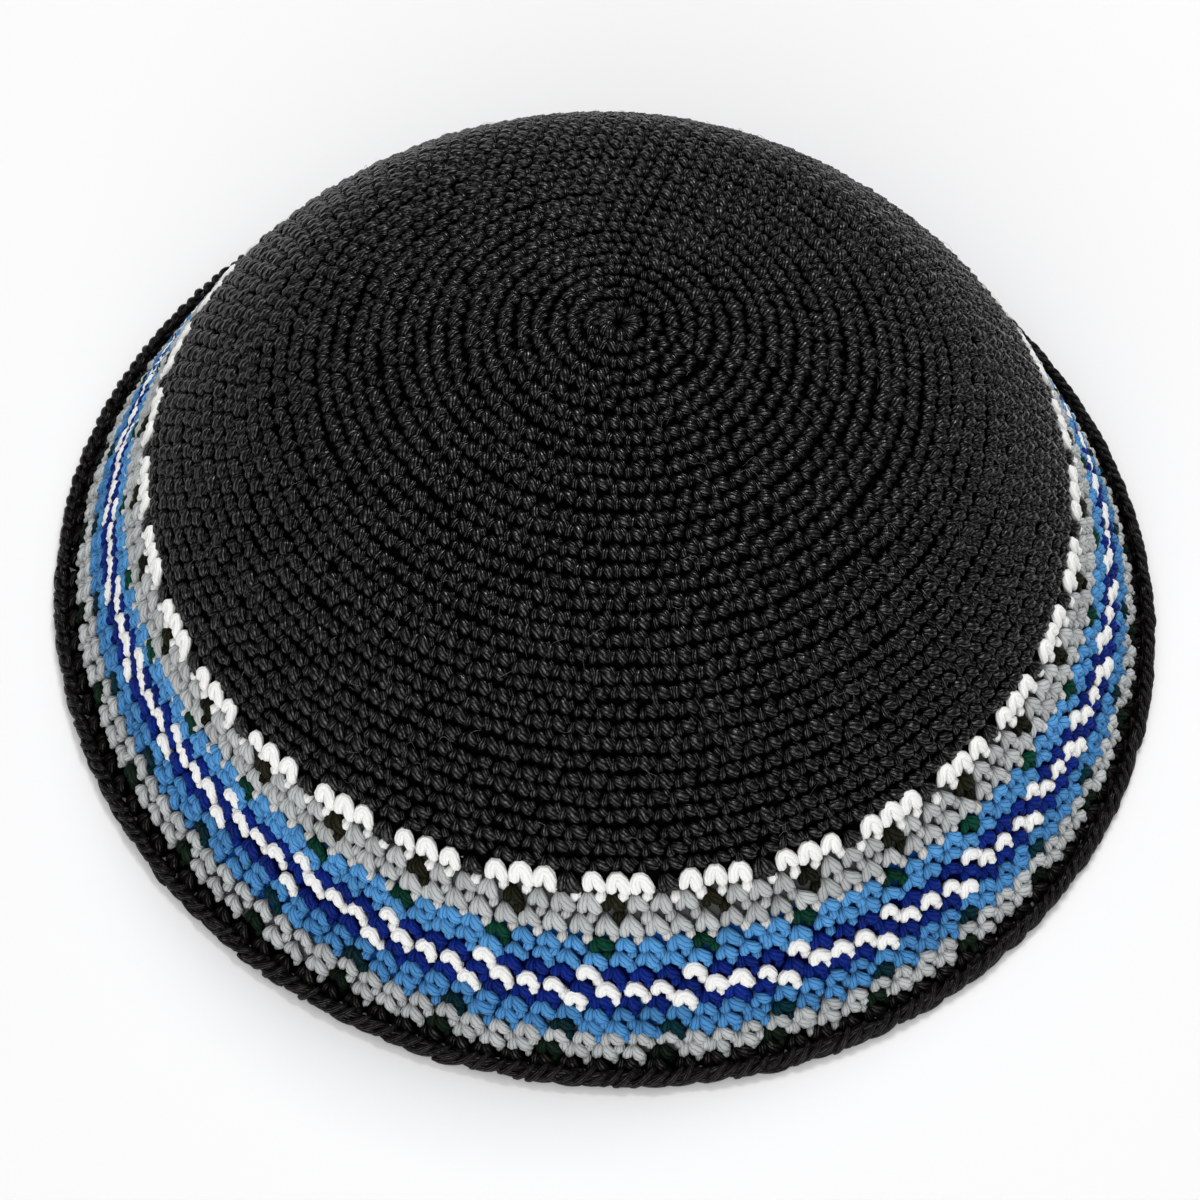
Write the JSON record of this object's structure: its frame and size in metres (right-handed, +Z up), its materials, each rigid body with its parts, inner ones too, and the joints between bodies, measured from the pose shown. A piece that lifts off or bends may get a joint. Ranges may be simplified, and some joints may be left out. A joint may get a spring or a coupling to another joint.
{
  "type": "kippah skullcap",
  "caption": "Domed skullcap crocheted in rounds, with a plain dark crown, a striped and patterned border, and a braided rim that rests flat.",
  "frame": {"origin": "on the surface that the cap rests on, under the middle of the dome", "axes": "+Z up out of the crown, -Y towards the front that the picture shows, +X to the right of that view"},
  "size_m": [0.1674, 0.1726, 0.0604],
  "materials": {
    "black_cotton": "thick mercerised cotton, soft sheen",
    "white_cotton": "thick cotton, matt",
    "grey_cotton": "thick mercerised cotton, soft sheen",
    "blue_cotton": "thick mercerised cotton, soft sheen",
    "navy_cotton": "thick mercerised cotton, soft sheen",
    "edging_cotton": "thick cotton, soft sheen"
  },
  "bodies": {
    "root": {"crown": "black_cotton", "white_round": "white_cotton", "upper_grey_stripe": "grey_cotton", "upper_blue_stripe": "blue_cotton", "navy_white_stripe": "navy_cotton", "lower_blue_stripe": "blue_cotton", "lower_grey_stripe": "grey_cotton", "edging": "edging_cotton"}
  },
  "joints": []
}
